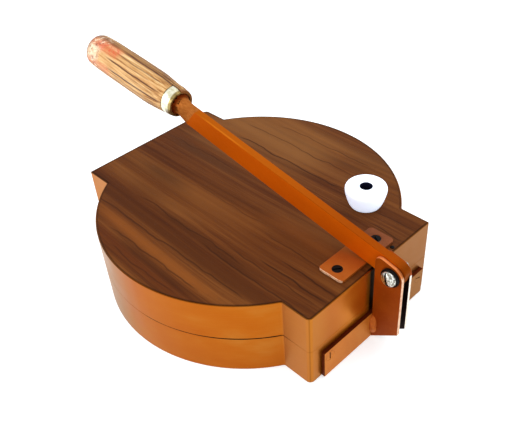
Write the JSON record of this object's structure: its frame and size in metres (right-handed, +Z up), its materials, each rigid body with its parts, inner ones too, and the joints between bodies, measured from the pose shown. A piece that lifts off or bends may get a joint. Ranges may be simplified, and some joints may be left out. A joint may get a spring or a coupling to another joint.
{
  "type": "tortilla press",
  "caption": "Wooden tortilla press with copper-clad edges: a hinged lid, a lever in a welded clevis, a wear plate, a small white knob and a turned wooden grip",
  "frame": {"origin": "Centre of the round pressing area, on the underside of the base, where the press rests on the table", "axes": "X to the right as seen from the clevis, Y from the clevis to the hinges, Z up; lever down on the lid"},
  "size_m": [0.25, 0.3588, 0.153],
  "materials": {
    "board_wood": "oiled",
    "copper_sheet": "satin",
    "copper_paint": "satin",
    "zinc": "polished",
    "black_steel": "satin",
    "hinge_brass": "satin",
    "white_plastic": "gloss",
    "ferrule_brass": "polished",
    "grip_wood": "worn"
  },
  "bodies": {
    "base": {"base_board": "board_wood", "base_band": "copper_sheet", "clevis_strap": "copper_paint", "clevis_ear_left": "copper_paint", "clevis_ear_right": "copper_paint", "clevis_welds": "copper_paint", "strap_screws": "copper_paint", "pivot_bolt": "zinc", "head_washer": "black_steel", "nut_washer": "zinc", "pivot_nut": "zinc", "hinge_base_leaf_left": "hinge_brass", "hinge_base_leaf_right": "hinge_brass", "hinge_pin_left": "hinge_brass", "hinge_pin_right": "hinge_brass", "hinge_base_screws": "hinge_brass"},
    "lid": {"lid_board": "board_wood", "lid_band": "copper_sheet", "wear_plate": "copper_paint", "wear_plate_screws": "black_steel", "lid_knob": "white_plastic", "knob_screw": "black_steel", "hinge_lid_leaf_left": "hinge_brass", "hinge_lid_leaf_right": "hinge_brass", "hinge_lid_screws": "hinge_brass"},
    "lever": {"lever_bar": "copper_paint", "ferrule": "ferrule_brass", "handle_grip": "grip_wood"}
  },
  "joints": [
    {"name": "lever_pivot", "type": "hinge", "parent": "base", "child": "lever", "pos_m": [0.0026, -0.148, 0.0726], "axis": [1, 0, 0], "range_deg": [0, 175]},
    {"name": "lid_hinge", "type": "hinge", "parent": "base", "child": "lid", "pos_m": [0, 0.1348, 0.03385], "axis": [-1, 0, 0], "range_deg": [0, 15]}
  ],
  "couplings": [
    {"joint": "lid_hinge", "follows": "lever_pivot", "ratio": 0.083333}
  ]
}
